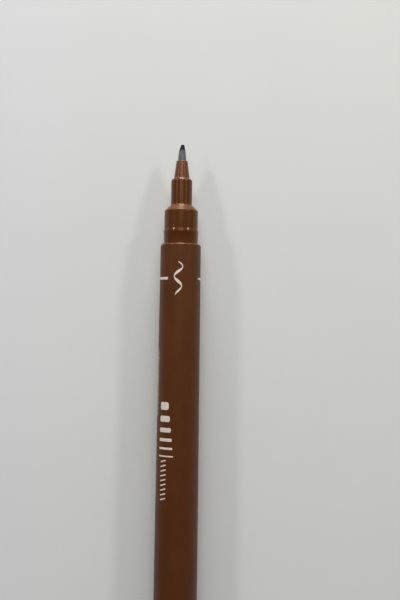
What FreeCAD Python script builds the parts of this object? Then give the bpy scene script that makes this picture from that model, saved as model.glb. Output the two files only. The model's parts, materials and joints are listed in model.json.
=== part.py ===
import FreeCAD, Part
import math
import os

# A brush pen with a soft fibre nib, lying on its side with its cap posted on the tail.
# Lengths are in millimetres and angles in degrees.
#
# Every piece is first drawn about the Y axis. A distance "along" is measured from the barrel's front
# shoulder and is positive towards the nib. The cap's one-sided features are drawn at +Z and turned
# down to the side by CLIP_TURN. place() moves each piece into the pen's own frame: +Z up, the surface
# that the pen lies on at Z = 0, and the origin at the bottom centre of the pen's bounding box.

Vector = FreeCAD.Vector
AXIS = Vector(0, 1, 0)
CENTRE = Vector(0, 0, 0)

# Barrel: a drafted tube with a straight stretch at its rear
BARREL_LENGTH = 91.0
BARREL_FRONT_RADIUS = 5.2
BARREL_REAR_RADIUS = 5.5
BARREL_STRAIGHT = 12.0
BARREL_BORE_RADIUS = 4.1
BARREL_FRONT_ROUNDING = 0.55
BARREL_REAR_ROUNDING = 0.3
RIB_COUNT = 6
RIB_WIDTH = 0.7
RIB_RADIUS = 3.8
RIB_MARGIN = 2.0
RIB_ROOT = 0.3

# Front section: spigot, neck, snap ring, collar, chamfer and nose in one moulding
SPIGOT_LENGTH = 9.0
SPIGOT_RADIUS = 4.08
NECK_RADIUS = 4.44
RING_START = 2.6
RING_CREST = 3.1
RING_RADIUS = 4.505
RAMP_START = 3.45
RAMP_RADIUS = 4.48
COLLAR_START = 3.9
COLLAR_RADIUS = 4.36
COLLAR_ROUNDING = 0.45
CHAMFER_START = 8.65
CHAMFER_END = 10.2
CHAMFER_FOOT_ROUNDING = 0.5
NOSE_RADIUS = 2.74
NOSE_END = 17.1
NOSE_ROUNDING = 0.68
CHAMBER_RADIUS = 3.0
CHAMBER_END = 7.0

# Nib holder: a hollow cone on a stem that is pressed into the nose
HOLDER_STEM_RADIUS = 1.7
HOLDER_STEM_END = 8.5
HOLDER_FOOT_RADIUS = 2.22
HOLDER_FOOT_MIDDLE = (17.19, 2.08)
HOLDER_FOOT_END = (17.45, 2.0)
HOLDER_MOUTH = 21.85
HOLDER_MOUTH_RADIUS = 1.46
HOLDER_LIP_ROUNDING = 0.2
HOLDER_BORE_RADIUS = 1.06
HOLDER_FLARE_ROUNDING = 0.15

# Nib: a fibre rod whose exposed end is ground to a brush point
NIB_RADIUS = 1.03
NIB_BELLY = (24.4, 0.83)
NIB_TIP = 26.2
NIB_POINT_RADIUS = 0.51
NIB_POINT_ANGLE = 60.0
NIB_PIVOT = HOLDER_MOUTH
NIB_CUP_RADIUS = 1.06
NIB_CUP_RIM = NIB_PIVOT - 0.7
NIB_TAIL = -14.5

# Ink reservoir: a fibre rod in a thin film sleeve, centred by the barrel's ribs
RESERVOIR_RADIUS = 3.6
RESERVOIR_FRONT = -9.5
RESERVOIR_REAR = -82.0
FILM_INNER_RADIUS = 3.62
FILM_OUTER_RADIUS = 3.76
FILM_MARGIN = 0.5

# Tail plug: closes the barrel and carries the posted cap
PLUG_SPIGOT_LENGTH = 8.0
PLUG_RADIUS = 4.36
PLUG_LENGTH = 9.2
PLUG_RIDGE_RADIUS = 4.41
PLUG_WALL = 1.2
PLUG_END_ROUNDING = 0.8

# Cap: shell, crown, sealing liner and clip. Depths are measured from the lip.
CAP_LENGTH = 37.0
CAP_GAP = 0.05
CAP_LIP_RADIUS = 5.6
CAP_END_RADIUS = 5.3
CAP_BORE_RADIUS = 4.45
CAP_GROOVE_RADIUS = 4.56
CAP_GROOVE_DEPTH = 3.0
CAP_GROOVE_WIDTH = 1.2
CAP_LIP_ROUNDING = 0.3
CAP_MOUTH_ROUNDING = 0.25
CROWN_THICKNESS = 1.6
CROWN_SPIGOT_RADIUS = 4.38
CROWN_SPIGOT_LENGTH = 3.4
CROWN_SPIGOT_BORE = 3.4
CROWN_ROUNDING = 0.6
VENT_COUNT = 4
VENT_RADIUS = 0.6
VENT_CIRCLE = 2.2
LINER_DEPTH = 9.6
LINER_LENGTH = 21.5
LINER_RADIUS = 3.8
LINER_BORE_RADIUS = 3.2
LINER_WALL = 0.8
LINER_FLANGE_RADIUS = 4.42
LINER_FLANGE_LENGTH = 4.0
LINER_SLOT_WIDTH = 1.6
LINER_SLOT_FLOOR = 3.9
LINER_RIM_ROUNDING = 0.2

# Clip: a bent strip of spring steel, hooked between the shell and the crown
STRIP_THICKNESS = 0.45
STRIP_ROOT_WIDTH = 3.8
STRIP_TIP_WIDTH = 3.0
CLIP_SLOT_SWING = 0.25
CLIP_SIDE_GAP = 0.1
CLIP_TAB_RADIUS = 4.6
CLIP_ARM_RADIUS = 6.8
CLIP_ROOT_BEND = 0.7
CLIP_ARM_LENGTH = 23.0
CLIP_ARM_END_RADIUS = 6.45
CLIP_ARM_BEND = 3.0
CLIP_DIP_LENGTH = 26.6
CLIP_DIP_BEND = 2.0
CLIP_LENGTH = 29.5
CLIP_FLARE_RADIUS = 6.5

# Where everything follows from the sizes above
CAP_LIP = -BARREL_LENGTH - CAP_GAP
CAP_END = CAP_LIP - CAP_LENGTH
SHELL_END = CAP_END + CROWN_THICKNESS
LINER_MOUTH = CAP_LIP - LINER_DEPTH
LINER_END = LINER_MOUTH - LINER_LENGTH
CLIP_ROOT = SHELL_END + CAP_GAP + STRIP_THICKNESS / 2
CLIP_OUTER_RADIUS = CLIP_ARM_RADIUS + STRIP_THICKNESS / 2

# The pen lies on its lip and on one edge of the clip: the angle from straight down to the clip
CLIP_REACH = math.hypot(CLIP_OUTER_RADIUS, STRIP_ROOT_WIDTH / 2)
CLIP_EDGE_ANGLE = math.degrees(math.atan2(STRIP_ROOT_WIDTH / 2, CLIP_OUTER_RADIUS))
CLIP_LEAN = CLIP_EDGE_ANGLE + math.degrees(math.acos(CAP_LIP_RADIUS / CLIP_REACH))
CLIP_TURN = 180.0 - CLIP_LEAN
CLIP_SIDE = CLIP_REACH * math.sin(math.radians(CLIP_LEAN + CLIP_EDGE_ANGLE))

ORIGIN_SHIFT = Vector(
    (CAP_LIP_RADIUS - CLIP_SIDE) / 2,
    -(NIB_TIP + CAP_END) / 2,
    CAP_LIP_RADIUS,
)


def outline(*steps):
    """A closed wire in the XY plane. A step is a corner (along, radius), or the (middle, end) pair of an arc."""
    points = [step if isinstance(step[0], tuple) else (step,) for step in steps]
    edges = []
    here = Vector(points[0][-1][1], points[0][-1][0], 0)
    for step in points[1:] + points[:1]:
        corners = [Vector(radius, along, 0) for along, radius in step]
        if len(corners) == 2:
            edges.append(Part.Arc(here, corners[0], corners[1]).toShape())
        else:
            edges.append(Part.LineSegment(here, corners[0]).toShape())
        here = corners[-1]
    return Part.Wire(edges)


def turned(*steps):
    """A solid of revolution about the pen's axis, from the steps of its outline."""
    return Part.Face(outline(*steps)).revolve(CENTRE, AXIS, 360)


def rounded(shape, along, radius, rounding):
    """The turned shape with its circular edge at this place rounded."""
    edges = []
    for edge in shape.Edges:
        curve = edge.Curve
        if not isinstance(curve, Part.Circle):
            continue
        if abs(curve.Center.y - along) < 0.001 and abs(curve.Radius - radius) < 0.001:
            edges.append(edge)
    return shape.makeFillet(rounding, edges)


def box(low, high):
    """A box between two opposite corners."""
    size = Vector(*high) - Vector(*low)
    return Part.makeBox(size.x, size.y, size.z, Vector(*low))


def around(shape, count):
    """Copies of a shape, evenly spaced about the pen's axis."""
    copies = []
    for number in range(count):
        copy = shape.copy()
        copy.rotate(CENTRE, AXIS, 360.0 * number / count)
        copies.append(copy)
    return copies


def barrel():
    tube = turned(
        (0, BARREL_BORE_RADIUS),
        (0, BARREL_FRONT_RADIUS),
        (BARREL_STRAIGHT - BARREL_LENGTH, BARREL_REAR_RADIUS),
        (-BARREL_LENGTH, BARREL_REAR_RADIUS),
        (-BARREL_LENGTH, BARREL_BORE_RADIUS),
    )
    tube = rounded(tube, 0, BARREL_FRONT_RADIUS, BARREL_FRONT_ROUNDING)
    tube = rounded(tube, -BARREL_LENGTH, BARREL_REAR_RADIUS, BARREL_REAR_ROUNDING)
    rib = box(
        (-RIB_WIDTH / 2, PLUG_SPIGOT_LENGTH + RIB_MARGIN - BARREL_LENGTH, RIB_RADIUS),
        (RIB_WIDTH / 2, -SPIGOT_LENGTH - RIB_MARGIN, BARREL_BORE_RADIUS + RIB_ROOT),
    )
    return tube.multiFuse(around(rib, RIB_COUNT)).removeSplitter()


def front_section():
    section = turned(
        (-SPIGOT_LENGTH, CHAMBER_RADIUS),
        (-SPIGOT_LENGTH, SPIGOT_RADIUS),
        (0, SPIGOT_RADIUS),
        (0, NECK_RADIUS),
        (RING_START, NECK_RADIUS),
        ((RING_CREST, RING_RADIUS), (RAMP_START, RAMP_RADIUS)),
        (COLLAR_START, COLLAR_RADIUS),
        (CHAMFER_START, COLLAR_RADIUS),
        (CHAMFER_END, NOSE_RADIUS),
        (NOSE_END, NOSE_RADIUS),
        (NOSE_END, HOLDER_STEM_RADIUS),
        (CHAMBER_END, HOLDER_STEM_RADIUS),
        (CHAMBER_END, CHAMBER_RADIUS),
    )
    section = rounded(section, CHAMFER_START, COLLAR_RADIUS, COLLAR_ROUNDING)
    section = rounded(section, CHAMFER_END, NOSE_RADIUS, CHAMFER_FOOT_ROUNDING)
    return rounded(section, NOSE_END, NOSE_RADIUS, NOSE_ROUNDING)


def nib_holder():
    holder = turned(
        (HOLDER_STEM_END, HOLDER_BORE_RADIUS),
        (HOLDER_STEM_END, HOLDER_STEM_RADIUS),
        (NOSE_END, HOLDER_STEM_RADIUS),
        (NOSE_END, HOLDER_FOOT_RADIUS),
        (HOLDER_FOOT_MIDDLE, HOLDER_FOOT_END),
        (HOLDER_MOUTH, HOLDER_MOUTH_RADIUS),
        (HOLDER_MOUTH, HOLDER_BORE_RADIUS),
    )
    holder = rounded(holder, HOLDER_MOUTH, HOLDER_MOUTH_RADIUS, HOLDER_LIP_ROUNDING)
    return rounded(holder, HOLDER_MOUTH, HOLDER_BORE_RADIUS, HOLDER_FLARE_ROUNDING)


def nib_stem():
    stem = turned(
        (NIB_TAIL, 0),
        (NIB_TAIL, NIB_RADIUS),
        (NIB_CUP_RIM, NIB_RADIUS),
        (NIB_CUP_RIM, 0),
    )
    return stem.cut(Part.makeSphere(NIB_CUP_RADIUS, Vector(0, NIB_PIVOT, 0)))


def on_ball(centre, radius, angle):
    """The (along, radius) point on a ball centred on the pen's axis, at this angle from the way to the nib."""
    slant = math.radians(angle)
    return (centre + radius * math.cos(slant), radius * math.sin(slant))


def brush_tip():
    """The exposed nib: a ball end in the stem's cup, a curved flank and a blunt round point."""
    point = NIB_TIP - NIB_POINT_RADIUS
    shoulder = on_ball(point, NIB_POINT_RADIUS, NIB_POINT_ANGLE)
    nose = on_ball(point, NIB_POINT_RADIUS, NIB_POINT_ANGLE / 2)
    return turned(
        (NIB_PIVOT - NIB_RADIUS, 0),
        (on_ball(NIB_PIVOT, NIB_RADIUS, 135.0), (NIB_PIVOT, NIB_RADIUS)),
        (NIB_BELLY, shoulder),
        (nose, (NIB_TIP, 0)),
    )


def ink_reservoir():
    """A fibre rod with a socket in its front end for the tail of the nib."""
    return turned(
        (RESERVOIR_REAR, 0),
        (RESERVOIR_REAR, RESERVOIR_RADIUS),
        (RESERVOIR_FRONT, RESERVOIR_RADIUS),
        (RESERVOIR_FRONT, NIB_RADIUS),
        (NIB_TAIL, NIB_RADIUS),
        (NIB_TAIL, 0),
    )


def reservoir_film():
    return turned(
        (RESERVOIR_REAR + FILM_MARGIN, FILM_INNER_RADIUS),
        (RESERVOIR_REAR + FILM_MARGIN, FILM_OUTER_RADIUS),
        (RESERVOIR_FRONT - FILM_MARGIN, FILM_OUTER_RADIUS),
        (RESERVOIR_FRONT - FILM_MARGIN, FILM_INNER_RADIUS),
    )


def tail_plug():
    """A cup with its open end in the barrel and a low ridge for the posted cap."""
    front = PLUG_SPIGOT_LENGTH - BARREL_LENGTH
    end = -BARREL_LENGTH - PLUG_LENGTH
    ridge = CAP_LIP - CAP_GROOVE_DEPTH
    half_ridge = CAP_GROOVE_WIDTH / 3
    plug = turned(
        (end, 0),
        (end, PLUG_RADIUS),
        (ridge - half_ridge, PLUG_RADIUS),
        ((ridge, PLUG_RIDGE_RADIUS), (ridge + half_ridge, PLUG_RADIUS)),
        (-BARREL_LENGTH, PLUG_RADIUS),
        (-BARREL_LENGTH, SPIGOT_RADIUS),
        (front, SPIGOT_RADIUS),
        (front, SPIGOT_RADIUS - PLUG_WALL),
        (end + PLUG_WALL, SPIGOT_RADIUS - PLUG_WALL),
        (end + PLUG_WALL, 0),
    )
    return rounded(plug, end, PLUG_RADIUS, PLUG_END_ROUNDING)


def cap_shell():
    groove = CAP_LIP - CAP_GROOVE_DEPTH
    half_groove = CAP_GROOVE_WIDTH / 2
    shell = turned(
        (CAP_LIP, CAP_BORE_RADIUS),
        (CAP_LIP, CAP_LIP_RADIUS),
        (SHELL_END, CAP_END_RADIUS),
        (SHELL_END, CAP_BORE_RADIUS),
        (groove - half_groove, CAP_BORE_RADIUS),
        ((groove, CAP_GROOVE_RADIUS), (groove + half_groove, CAP_BORE_RADIUS)),
    )
    shell = rounded(shell, CAP_LIP, CAP_LIP_RADIUS, CAP_LIP_ROUNDING)
    shell = rounded(shell, CAP_LIP, CAP_BORE_RADIUS, CAP_MOUTH_ROUNDING)
    half_width = STRIP_ROOT_WIDTH / 2 + CLIP_SIDE_GAP
    slot_depth = CAP_GAP + STRIP_THICKNESS + CLIP_SLOT_SWING
    slot = box(
        (-half_width, SHELL_END - 1, CAP_BORE_RADIUS - 1),
        (half_width, SHELL_END + slot_depth, CAP_LIP_RADIUS + 1),
    )
    return shell.cut(slot)


def cap_crown():
    crown = turned(
        (CAP_END, 0),
        (CAP_END, CAP_END_RADIUS),
        (SHELL_END, CAP_END_RADIUS),
        (SHELL_END, CROWN_SPIGOT_RADIUS),
        (SHELL_END + CROWN_SPIGOT_LENGTH, CROWN_SPIGOT_RADIUS),
        (SHELL_END + CROWN_SPIGOT_LENGTH, CROWN_SPIGOT_BORE),
        (SHELL_END, CROWN_SPIGOT_BORE),
        (SHELL_END, 0),
    )
    crown = rounded(crown, CAP_END, CAP_END_RADIUS, CROWN_ROUNDING)
    vent = Part.makeCylinder(
        VENT_RADIUS, CROWN_THICKNESS + 2, Vector(VENT_CIRCLE, CAP_END - 1, 0), AXIS
    )
    return crown.cut(around(vent, VENT_COUNT))


def inner_cap():
    """The liner that seals on the front section's chamfer, with air slots in its rear flange."""
    liner = turned(
        (LINER_MOUTH, LINER_BORE_RADIUS),
        (LINER_MOUTH, LINER_RADIUS),
        (LINER_END + LINER_FLANGE_LENGTH, LINER_RADIUS),
        (LINER_END + LINER_FLANGE_LENGTH, LINER_FLANGE_RADIUS),
        (LINER_END, LINER_FLANGE_RADIUS),
        (LINER_END, 0),
        (LINER_END + LINER_WALL, 0),
        (LINER_END + LINER_WALL, LINER_BORE_RADIUS),
    )
    liner = rounded(liner, LINER_MOUTH, LINER_RADIUS, LINER_RIM_ROUNDING)
    slot = box(
        (-LINER_SLOT_WIDTH / 2, LINER_END - 1, LINER_SLOT_FLOOR),
        (LINER_SLOT_WIDTH / 2, LINER_END + LINER_FLANGE_LENGTH + 1, LINER_FLANGE_RADIUS + 1),
    )
    return liner.cut(around(slot, VENT_COUNT))


def bent_path(points):
    """A wire in the YZ plane through (along, radius, bend radius) points, with a tangent arc at each bend."""
    corners = [Vector(0, along, radius) for along, radius, bend in points]
    edges = []
    here = corners[0]
    for number in range(1, len(points) - 1):
        corner = corners[number]
        back = (corners[number - 1] - corner).normalize()
        on = (corners[number + 1] - corner).normalize()
        half_angle = back.getAngle(on) / 2
        bend = points[number][2]
        trim = bend / math.tan(half_angle)
        middle = (back + on).normalize() * (bend / math.sin(half_angle) - bend)
        edges.append(Part.LineSegment(here, corner + back * trim).toShape())
        arc = Part.Arc(corner + back * trim, corner + middle, corner + on * trim)
        edges.append(arc.toShape())
        here = corner + on * trim
    edges.append(Part.LineSegment(here, corners[-1]).toShape())
    return Part.Wire(edges)


def clip():
    """A strip bent at its root, dipped to meet the shell near the lip and flared at its free end.

    The dip's corner lies on the shell, and its arc leaves the strip a hair clear of it.
    """
    dip = CLIP_ROOT + CLIP_DIP_LENGTH
    shell_slope = (CAP_LIP_RADIUS - CAP_END_RADIUS) / (CAP_LIP - SHELL_END)
    dip_radius = CAP_END_RADIUS + shell_slope * (dip - SHELL_END) + STRIP_THICKNESS / 2
    path = bent_path(
        [
            (CLIP_ROOT, CLIP_TAB_RADIUS, 0),
            (CLIP_ROOT, CLIP_ARM_RADIUS, CLIP_ROOT_BEND),
            (CLIP_ROOT + CLIP_ARM_LENGTH, CLIP_ARM_END_RADIUS, CLIP_ARM_BEND),
            (dip, dip_radius, CLIP_DIP_BEND),
            (CLIP_ROOT + CLIP_LENGTH, CLIP_FLARE_RADIUS, 0),
        ]
    )
    half_width = STRIP_ROOT_WIDTH / 2
    half_strip = STRIP_THICKNESS / 2
    section = Part.makePolygon(
        [
            Vector(-half_width, CLIP_ROOT - half_strip, CLIP_TAB_RADIUS),
            Vector(half_width, CLIP_ROOT - half_strip, CLIP_TAB_RADIUS),
            Vector(half_width, CLIP_ROOT + half_strip, CLIP_TAB_RADIUS),
            Vector(-half_width, CLIP_ROOT + half_strip, CLIP_TAB_RADIUS),
            Vector(-half_width, CLIP_ROOT - half_strip, CLIP_TAB_RADIUS),
        ]
    )
    strip = path.makePipeShell([section], True, True)

    start = CLIP_ROOT - 1
    end = CLIP_ROOT + CLIP_LENGTH
    half_tip = STRIP_TIP_WIDTH / 2
    plan = Part.Wire(
        [
            Part.LineSegment(Vector(-half_width, start, 0), Vector(half_width, start, 0)).toShape(),
            Part.LineSegment(Vector(half_width, start, 0), Vector(half_tip, end - half_tip, 0)).toShape(),
            Part.Arc(
                Vector(half_tip, end - half_tip, 0),
                Vector(0, end, 0),
                Vector(-half_tip, end - half_tip, 0),
            ).toShape(),
            Part.LineSegment(Vector(-half_tip, end - half_tip, 0), Vector(-half_width, start, 0)).toShape(),
        ]
    )
    stencil = Part.Face(plan).extrude(Vector(0, 0, CLIP_REACH + 2))
    return strip.common(stencil)


def place(shape, turn):
    """The shape turned about the pen's axis and moved into the pen's own frame."""
    placed = shape.copy()
    placed.rotate(CENTRE, AXIS, turn)
    placed.translate(ORIGIN_SHIFT)
    return placed


pieces = {
    "barrel": (barrel, 0),
    "front_section": (front_section, 0),
    "nib_holder": (nib_holder, 0),
    "nib_stem": (nib_stem, 0),
    "brush_tip": (brush_tip, 0),
    "ink_reservoir": (ink_reservoir, 0),
    "reservoir_film": (reservoir_film, 0),
    "tail_plug": (tail_plug, 0),
    "cap_shell": (cap_shell, CLIP_TURN),
    "cap_crown": (cap_crown, CLIP_TURN),
    "inner_cap": (inner_cap, CLIP_TURN),
    "clip": (clip, CLIP_TURN),
}

os.makedirs("parts", exist_ok=True)
for name, (make, turn) in pieces.items():
    shape = place(make(), turn)
    solids = shape.Solids
    assert len(solids) == 1, f"{name} has {len(solids)} solids"
    solid = solids[0]
    assert solid.isValid() and solid.Volume > 0, name
    solid.exportStep(f"parts/{name}.step")
    bounds = solid.BoundBox
    print(
        f"{name:15s} {solid.Volume:9.2f} mm3",
        f"X {bounds.XMin:8.3f} {bounds.XMax:8.3f}",
        f"Y {bounds.YMin:8.3f} {bounds.YMax:8.3f}",
        f"Z {bounds.ZMin:8.3f} {bounds.ZMax:8.3f}",
    )
print("origin shift", ORIGIN_SHIFT, "clip turn", CLIP_TURN)
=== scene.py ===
import cmath
import json
import math

import bmesh
import bpy
from mathutils import Matrix, Vector, noise


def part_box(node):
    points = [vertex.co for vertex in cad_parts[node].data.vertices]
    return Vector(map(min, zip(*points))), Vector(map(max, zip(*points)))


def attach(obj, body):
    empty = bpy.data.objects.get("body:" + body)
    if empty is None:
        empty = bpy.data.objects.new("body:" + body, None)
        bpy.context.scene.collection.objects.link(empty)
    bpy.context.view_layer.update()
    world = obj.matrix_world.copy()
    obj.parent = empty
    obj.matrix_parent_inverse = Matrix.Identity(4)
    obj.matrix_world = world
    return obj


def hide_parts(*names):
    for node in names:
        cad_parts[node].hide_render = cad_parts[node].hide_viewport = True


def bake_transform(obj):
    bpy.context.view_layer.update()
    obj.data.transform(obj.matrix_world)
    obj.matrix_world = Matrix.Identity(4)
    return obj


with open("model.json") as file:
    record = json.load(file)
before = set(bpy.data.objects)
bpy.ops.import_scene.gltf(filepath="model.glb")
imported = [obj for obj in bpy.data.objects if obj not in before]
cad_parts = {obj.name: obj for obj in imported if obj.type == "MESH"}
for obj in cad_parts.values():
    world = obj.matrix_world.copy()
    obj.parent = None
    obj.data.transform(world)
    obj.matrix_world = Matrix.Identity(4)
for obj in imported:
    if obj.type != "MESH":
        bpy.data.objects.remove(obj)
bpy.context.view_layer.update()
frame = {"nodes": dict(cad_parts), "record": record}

# The looks of a brush pen that lies on its side with its cap posted on the tail.
# Lengths named here are in millimetres, and every mesh is in metres. "Along" is measured from the
# barrel's front shoulder, positive towards the nib. A turn is an angle about the pen's axis, from
# straight up towards +X.

MM = 0.001
AXIS_X, _, AXIS_Z = frame["record"]["mounts"][0]["pos_m"]
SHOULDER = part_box("barrel")[1][1]

# Barrel
BARREL_LENGTH = 91.0
BARREL_FRONT_RADIUS = 5.2
BARREL_REAR_RADIUS = 5.5
BARREL_STRAIGHT = 12.0
BARREL_BORE_RADIUS = 4.1
BARREL_FRONT_ROUNDING = 0.55
BARREL_REAR_ROUNDING = 0.3
RIB_COUNT = 6
RIB_WIDTH = 0.7
RIB_RADIUS = 3.8
RIB_FRONT = -11.0
RIB_REAR = -81.0
RIB_END_STEP = 0.01

# Front section
SPIGOT_LENGTH = 9.0
SPIGOT_RADIUS = 4.08
NECK_RADIUS = 4.44
RING_START = 2.6
RING_CREST = 3.1
RING_RADIUS = 4.505
RAMP_START = 3.45
RAMP_RADIUS = 4.48
COLLAR_START = 3.9
COLLAR_RADIUS = 4.36
COLLAR_ROUNDING = 0.45
CHAMFER_START = 8.65
CHAMFER_END = 10.2
CHAMFER_FOOT_ROUNDING = 0.5
NOSE_RADIUS = 2.74
NOSE_END = 17.1
NOSE_ROUNDING = 0.68
CHAMBER_RADIUS = 3.0
CHAMBER_END = 7.0

# Nib holder
HOLDER_STEM_RADIUS = 1.7
HOLDER_STEM_END = 8.5
HOLDER_FOOT_RADIUS = 2.22
HOLDER_FOOT_MIDDLE = (17.19, 2.08)
HOLDER_FOOT_END = (17.45, 2.0)
HOLDER_MOUTH = 21.85
HOLDER_MOUTH_RADIUS = 1.46
HOLDER_LIP_ROUNDING = 0.2
HOLDER_BORE_RADIUS = 1.06
HOLDER_FLARE_ROUNDING = 0.15

# Nib
NIB_RADIUS = 1.03
NIB_BELLY = (24.4, 0.83)
NIB_TIP = 26.2
NIB_POINT_RADIUS = 0.51
NIB_POINT_ANGLE = 60.0
NIB_TAIL = -14.5
NIB_LEAN = 0.12
NIB_LEAN_START = 23.6

# The nib's fibres: how often strands repeat across and along the rod, and how far they stand out
FIBRE_DEPTH = 0.012
FIBRE_SINK = 0.5
STRAND_ACROSS = 11
STRAND_ALONG = 0.35
STRAND_SHARE = 0.6
FINE_ACROSS = 26
FINE_ALONG = 0.9
FINE_OFFSET = 40

# Tail plug
PLUG_SPIGOT_LENGTH = 8.0
PLUG_RADIUS = 4.36
PLUG_LENGTH = 9.2
PLUG_RIDGE_RADIUS = 4.41
PLUG_WALL = 1.2
PLUG_END_ROUNDING = 0.8

# Cap
CAP_LENGTH = 37.0
CAP_GAP = 0.05
CAP_LIP_RADIUS = 5.6
CAP_END_RADIUS = 5.3
CAP_BORE_RADIUS = 4.45
CAP_GROOVE_RADIUS = 4.56
CAP_GROOVE_DEPTH = 3.0
CAP_GROOVE_WIDTH = 1.2
CAP_LIP_ROUNDING = 0.3
CAP_MOUTH_ROUNDING = 0.25
CROWN_THICKNESS = 1.6
CROWN_SPIGOT_RADIUS = 4.38
CROWN_SPIGOT_LENGTH = 3.4
CROWN_SPIGOT_BORE = 3.4
CROWN_ROUNDING = 0.6
VENT_COUNT = 4
VENT_RADIUS = 0.6
VENT_FLARE = 0.12
VENT_CIRCLE = 2.2
LINER_DEPTH = 9.6
LINER_LENGTH = 21.5
LINER_RADIUS = 3.8
LINER_BORE_RADIUS = 3.2
LINER_WALL = 0.8
LINER_FLANGE_RADIUS = 4.42
LINER_FLANGE_LENGTH = 4.0
LINER_SLOT_WIDTH = 1.6
LINER_SLOT_FLOOR = 3.9
LINER_RIM_ROUNDING = 0.2

# Clip
STRIP_THICKNESS = 0.45
STRIP_EDGE = 0.07
STRIP_ROOT_WIDTH = 3.8
STRIP_TIP_WIDTH = 3.0
CLIP_SLOT_SWING = 0.25
CLIP_SIDE_GAP = 0.1
CLIP_TAB_RADIUS = 4.6
CLIP_ARM_RADIUS = 6.8
CLIP_ROOT_BEND = 0.7
CLIP_ARM_LENGTH = 23.0
CLIP_ARM_END_RADIUS = 6.45
CLIP_ARM_BEND = 3.0
CLIP_DIP_LENGTH = 26.6
CLIP_DIP_BEND = 2.0
CLIP_LENGTH = 29.5
CLIP_FLARE_RADIUS = 6.5
CLIP_TAPER_LEAD = 1.0
CLIP_TIP_TRIM = 0.004

# What follows from the sizes above
CAP_LIP = -BARREL_LENGTH - CAP_GAP
CAP_END = CAP_LIP - CAP_LENGTH
SHELL_END = CAP_END + CROWN_THICKNESS
LINER_MOUTH = CAP_LIP - LINER_DEPTH
LINER_END = LINER_MOUTH - LINER_LENGTH
CLIP_ROOT = SHELL_END + CAP_GAP + STRIP_THICKNESS / 2
CLIP_OUTER_RADIUS = CLIP_ARM_RADIUS + STRIP_THICKNESS / 2
RIDGE = CAP_LIP - CAP_GROOVE_DEPTH

# The pen lies on its cap's lip and on one edge of the clip, which sets the clip's turn
CLIP_REACH = math.hypot(CLIP_OUTER_RADIUS, STRIP_ROOT_WIDTH / 2)
CLIP_EDGE_TURN = math.atan2(STRIP_ROOT_WIDTH / 2, CLIP_OUTER_RADIUS)
CLIP_TURN = math.pi - CLIP_EDGE_TURN - math.acos(CAP_LIP_RADIUS / CLIP_REACH)

# How finely the meshes are divided
COLUMNS = 192
SLOT_COLUMNS = 24
VENT_COLUMNS = 32
ARC_STEPS = 8
NIB_ARC_STEPS = 24
NIB_ROD_STEPS = 60
CLIP_END_STEPS = 16
CLIP_EDGE_STEPS = 3
SUPPORT = 0.06
EDGE_ROUNDING = 0.06
SHARP_ANGLE = math.radians(32)
EDGE_HAIR = math.radians(0.04)
EDGE_CLEARANCE = 5 * EDGE_HAIR
CUTTER_REACH = 1.0
ON_AXIS = 1e-6
SAME_PLACE = 1e-9
FULL_TURN = 2 * math.pi


def place(along, radius, turn):
    """The point in the row frame at this place along the pen, distance from its axis and turn."""
    return Vector(
        (
            AXIS_X + radius * MM * math.sin(turn),
            SHOULDER + along * MM,
            AXIS_Z + radius * MM * math.cos(turn),
        )
    )


def rounded_corner(before, corner, after, rounding):
    """Points of the arc that rounds a corner, with a supporting point on the straight at either side."""
    back = (before - corner) / abs(before - corner)
    on = (after - corner) / abs(after - corner)
    half_angle = abs(cmath.phase(on / back)) / 2
    trim = rounding / math.tan(half_angle)
    bisector = (back + on) / abs(back + on)
    centre = corner + bisector * rounding / math.sin(half_angle)
    start = corner + back * trim - centre
    swing = cmath.phase((corner + on * trim - centre) / start)
    arc = [centre + start * cmath.rect(1, swing * step / ARC_STEPS) for step in range(ARC_STEPS + 1)]
    reach_back = min(trim + SUPPORT, abs(before - corner) / 2)
    reach_on = min(trim + SUPPORT, abs(after - corner) / 2)
    return [corner + back * reach_back] + arc + [corner + on * reach_on]


def arc_through(start, middle, end, steps):
    """Points after start on the circular arc from start through middle to end."""
    span = (end - start) / (middle - start)
    pull = (abs(span) ** 2 - span) / (span - span.conjugate())
    centre = start - (middle - start) * pull
    first = cmath.phase((middle - centre) / (start - centre))
    second = cmath.phase((end - centre) / (middle - centre))
    swing = first + second
    return [centre + (start - centre) * cmath.rect(1, swing * step / steps) for step in range(1, steps + 1)]


def outline(*steps, closed=True, arc_steps=ARC_STEPS):
    """The points (along, radius) of an outline.

    A step is a corner (along, radius), a rounded corner (along, radius, rounding), or the
    (middle, end) pair of an arc from the step before.
    """
    corners = [complex(*step[-1]) if isinstance(step[0], tuple) else complex(*step[:2]) for step in steps]
    points = []
    for number, step in enumerate(steps):
        corner = corners[number]
        before = corners[number - 1]
        after = corners[(number + 1) % len(steps)]
        if isinstance(step[0], tuple):
            points += arc_through(before, complex(*step[0]), corner, arc_steps)
        elif len(step) == 3 and (closed or 0 < number < len(steps) - 1):
            points += rounded_corner(before, corner, after, step[2])
        else:
            points.append(corner)
    return [(point.real, point.imag) for point in points]


def keep_mesh(name, mesh):
    """A shown object from a bmesh, smooth except at its sharp edges."""
    bmesh.ops.recalc_face_normals(mesh, faces=mesh.faces)
    for face in mesh.faces:
        face.smooth = True
    for edge in mesh.edges:
        edge.smooth = len(edge.link_faces) == 2 and edge.calc_face_angle() < SHARP_ANGLE
    data = bpy.data.meshes.new(name)
    mesh.to_mesh(data)
    mesh.free()
    piece = bpy.data.objects.new(name, data)
    bpy.context.scene.collection.objects.link(piece)
    return piece


def even_turns(count=COLUMNS, start=0.0):
    """Turns spread evenly around the pen."""
    return [start + FULL_TURN * number / count for number in range(count)]


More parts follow.
